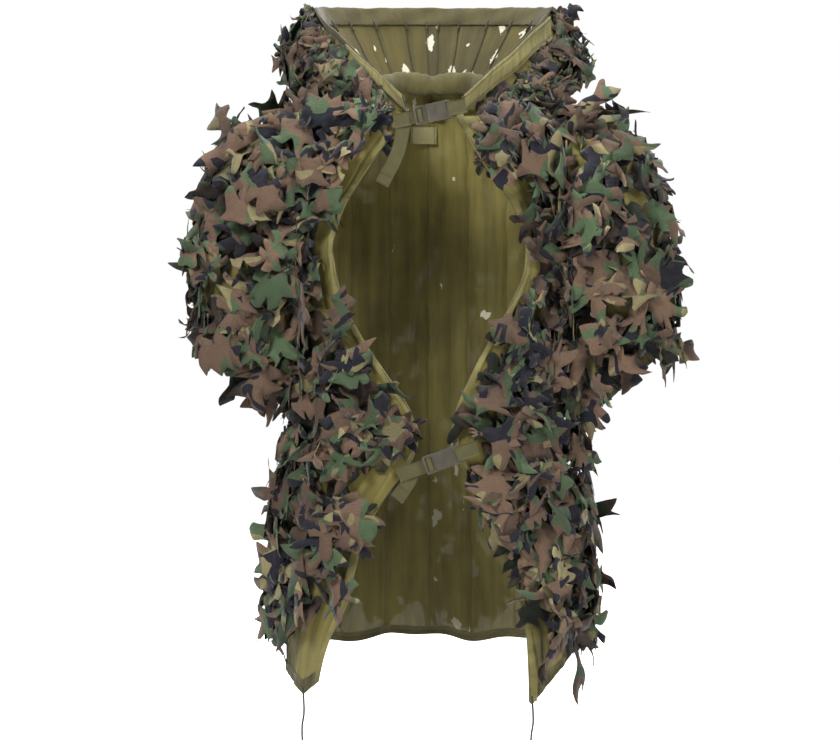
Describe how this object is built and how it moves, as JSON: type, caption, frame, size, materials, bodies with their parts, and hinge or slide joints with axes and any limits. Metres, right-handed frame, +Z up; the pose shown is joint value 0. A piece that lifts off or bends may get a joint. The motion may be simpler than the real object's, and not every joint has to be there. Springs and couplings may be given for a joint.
{
  "type": "hooded leaf ghillie cape",
  "caption": "Hooded camouflage cape with wide elbow sleeves, covered in sewn cloth leaves, open at the front and closed by side-release buckles.",
  "frame": {"origin": "under the middle of the garment, at the level of the corner cords' lower ends", "axes": "+Z up, -Y the front of the garment, +X to the right as seen from the front"},
  "size_m": [0.7346, 0.3251, 1.138],
  "materials": {
    "mesh_cloth": "sheer woven, slightly shiny",
    "leaf_cloth": "woodland print, matt",
    "binding_tape": "woven tape",
    "webbing": "20 mm webbing",
    "buckle_plastic": "moulded, fine texture",
    "cord": "braided",
    "label": "blank woven label"
  },
  "bodies": {
    "garment": {"back_panel": "mesh_cloth", "back_hem_casing": "binding_tape", "front_panel_left": "mesh_cloth", "front_panel_right": "mesh_cloth", "edge_binding_left": "binding_tape", "edge_binding_right": "binding_tape", "leaf_cover_back": "leaf_cloth", "leaf_cover_front_left": "leaf_cloth", "leaf_cover_front_right": "leaf_cloth", "collar_roll": "mesh_cloth", "hanger_loop": "binding_tape", "neck_label": "label", "neck_load_strap": "webbing", "neck_buckle_female": "buckle_plastic", "neck_fixed_strap": "webbing", "waist_load_strap": "webbing", "waist_buckle_female": "buckle_plastic", "waist_fixed_strap": "webbing"},
    "hood": {"hood_shell": "mesh_cloth", "hood_brim_casing": "binding_tape", "hood_drawcord": "cord", "leaf_cover_hood": "leaf_cloth"},
    "sleeve_left": {"sleeve_left": "mesh_cloth", "sleeve_hem_left": "binding_tape", "leaf_cover_sleeve_left": "leaf_cloth"},
    "skirt_left": {"skirt_left": "mesh_cloth", "skirt_binding_left": "binding_tape", "leaf_cover_skirt_left": "leaf_cloth"},
    "cord_left": {"corner_cord_left": "cord"},
    "sleeve_right": {"sleeve_right": "mesh_cloth", "sleeve_hem_right": "binding_tape", "leaf_cover_sleeve_right": "leaf_cloth"},
    "skirt_right": {"skirt_right": "mesh_cloth", "skirt_binding_right": "binding_tape", "leaf_cover_skirt_right": "leaf_cloth"},
    "cord_right": {"corner_cord_right": "cord"},
    "neck_male": {"neck_buckle_male": "buckle_plastic", "neck_strap_wrap": "webbing"},
    "neck_prong_upper": {"neck_buckle_prong_upper": "buckle_plastic"},
    "neck_prong_lower": {"neck_buckle_prong_lower": "buckle_plastic"},
    "neck_tail": {"neck_tail_strap": "webbing"},
    "waist_male": {"waist_buckle_male": "buckle_plastic", "waist_strap_wrap": "webbing"},
    "waist_prong_upper": {"waist_buckle_prong_upper": "buckle_plastic"},
    "waist_prong_lower": {"waist_buckle_prong_lower": "buckle_plastic"},
    "waist_tail": {"waist_tail_strap": "webbing"}
  },
  "joints": [
    {"name": "hood_raise", "type": "hinge", "parent": "garment", "child": "hood", "pos_m": [0, -0.091, 0.942], "axis": [1, 0, 0], "range_deg": [0, 40]},
    {"name": "sleeve_left_swing", "type": "hinge", "parent": "garment", "child": "sleeve_left", "pos_m": [-0.19, 0, 0.976], "axis": [0, 1, 0], "range_deg": [0, 25]},
    {"name": "skirt_left_swing", "type": "hinge", "parent": "garment", "child": "skirt_left", "pos_m": [-0.241, 0, 0.4], "axis": [0, 1, 0], "range_deg": [0, 12]},
    {"name": "cord_left_swing", "type": "hinge", "parent": "skirt_left", "child": "cord_left", "pos_m": [-0.19, -0.086, 0.089], "axis": [0, 1, 0], "range_deg": [-15, 15]},
    {"name": "sleeve_right_swing", "type": "hinge", "parent": "garment", "child": "sleeve_right", "pos_m": [0.19, 0, 0.976], "axis": [0, -1, 0], "range_deg": [0, 25]},
    {"name": "skirt_right_swing", "type": "hinge", "parent": "garment", "child": "skirt_right", "pos_m": [0.241, 0, 0.4], "axis": [0, -1, 0], "range_deg": [0, 12]},
    {"name": "cord_right_swing", "type": "hinge", "parent": "skirt_right", "child": "cord_right", "pos_m": [0.142, -0.12, 0.081], "axis": [0, -1, 0], "range_deg": [-15, 15]},
    {"name": "neck_buckle_release", "type": "slide", "parent": "garment", "child": "neck_male", "axis": [-0.9781, 0, -0.2079], "range_m": [0, 0.022], "deforming": ["neck_buckle_prong_upper", "neck_buckle_prong_lower"]},
    {"name": "neck_prong_upper_squeeze", "type": "hinge", "parent": "neck_male", "child": "neck_prong_upper", "pos_m": [-0.01141, -0.126, 0.94308], "axis": [0, 1, 0], "range_deg": [0, 8], "stiffness_Nm_per_rad": 0.05},
    {"name": "neck_prong_lower_squeeze", "type": "hinge", "parent": "neck_male", "child": "neck_prong_lower", "pos_m": [-0.008, -0.126, 0.92704], "axis": [0, -1, 0], "range_deg": [0, 8], "stiffness_Nm_per_rad": 0.05},
    {"name": "neck_tail_swing", "type": "hinge", "parent": "neck_male", "child": "neck_tail", "pos_m": [-0.04423, -0.1174, 0.92772], "axis": [0, -1, 0], "range_deg": [-8, 8]},
    {"name": "waist_buckle_release", "type": "slide", "parent": "garment", "child": "waist_male", "axis": [-0.9397, 0, -0.342], "range_m": [0, 0.022], "deforming": ["waist_buckle_prong_upper", "waist_buckle_prong_lower"]},
    {"name": "waist_prong_upper_squeeze", "type": "hinge", "parent": "waist_male", "child": "waist_prong_upper", "pos_m": [0.00148, -0.15, 0.44381], "axis": [0, 1, 0], "range_deg": [0, 8], "stiffness_Nm_per_rad": 0.05},
    {"name": "waist_prong_lower_squeeze", "type": "hinge", "parent": "waist_male", "child": "waist_prong_lower", "pos_m": [0.00709, -0.15, 0.4284], "axis": [0, -1, 0], "range_deg": [0, 8], "stiffness_Nm_per_rad": 0.05},
    {"name": "waist_tail_swing", "type": "hinge", "parent": "waist_male", "child": "waist_tail", "pos_m": [-0.02889, -0.1414, 0.42403], "axis": [0, -1, 0], "range_deg": [-8, 8]}
  ]
}
